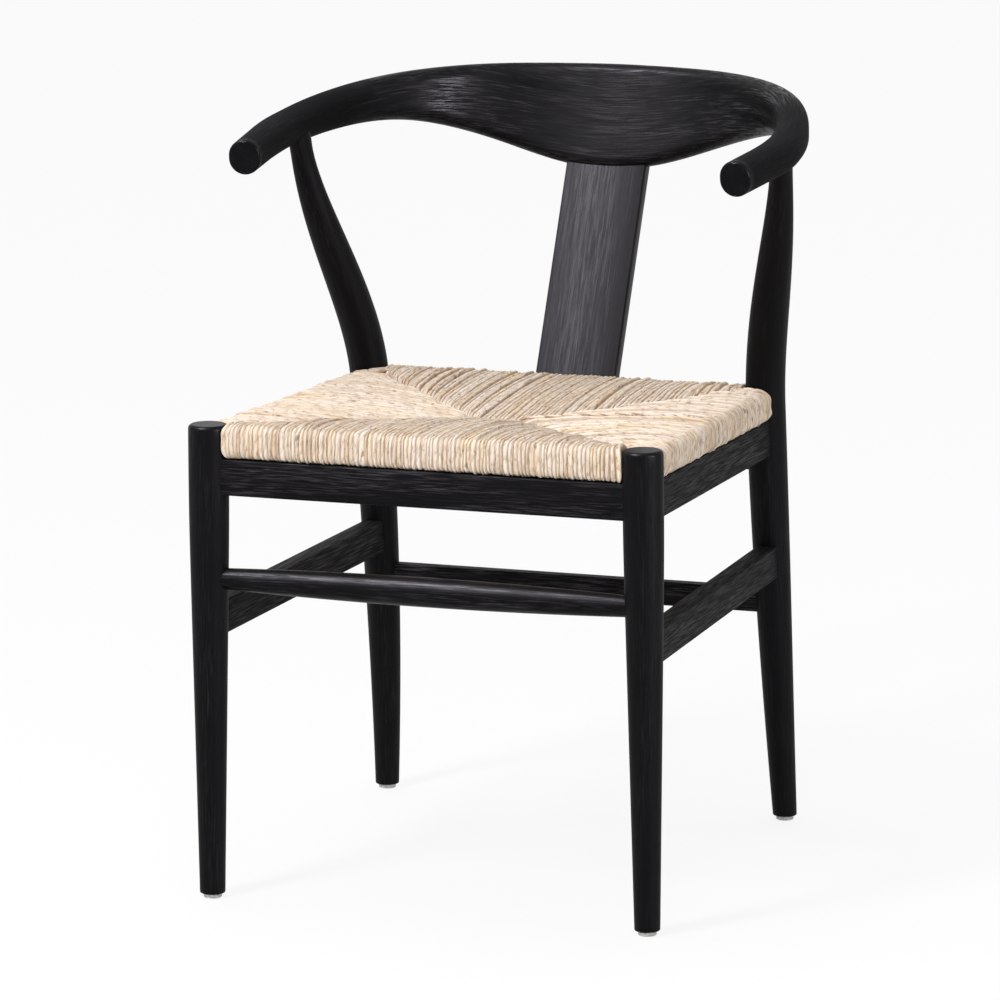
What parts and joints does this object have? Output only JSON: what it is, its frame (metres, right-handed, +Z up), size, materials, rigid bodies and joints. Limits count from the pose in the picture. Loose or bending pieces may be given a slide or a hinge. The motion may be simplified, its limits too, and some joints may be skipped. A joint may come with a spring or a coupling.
{
  "type": "bow-back armchair",
  "caption": "Dining armchair in black wood with a bowed rail that forms back and arms, a plain leaning splat, tapered legs joined by stretchers, and a woven cord seat.",
  "frame": {"origin": "on the floor, under the middle of the chair's outline", "axes": "+Z up, the chair faces -Y, +X on the right of someone looking at its front"},
  "size_m": [0.551, 0.599, 0.739],
  "materials": {
    "black_wood": "black stain with a satin lacquer, open grain showing",
    "bare_wood": "bare sanded wood",
    "rush_cord": "natural twisted rush cord, matt with darker flecks",
    "glide_plastic": "pale moulded",
    "nail_steel": "plain wire nail"
  },
  "bodies": {
    "root": {"arm_dowels": "bare_wood", "back_rail": "black_wood", "back_splat": "black_wood", "front_apron": "black_wood", "front_left_glide": "glide_plastic", "front_leg_left": "black_wood", "front_leg_right": "black_wood", "front_right_glide": "glide_plastic", "front_seat_rail": "bare_wood", "front_stretcher": "black_wood", "glide_nails": "nail_steel", "left_apron": "black_wood", "left_arm": "black_wood", "left_seat_rail": "bare_wood", "left_stretcher": "black_wood", "rear_apron": "black_wood", "rear_left_glide": "glide_plastic", "rear_leg_left": "black_wood", "rear_leg_right": "black_wood", "rear_right_glide": "glide_plastic", "rear_seat_rail": "bare_wood", "rear_stretcher": "black_wood", "right_apron": "black_wood", "right_arm": "black_wood", "right_seat_rail": "bare_wood", "right_stretcher": "black_wood", "woven_seat": "rush_cord"}
  },
  "joints": []
}
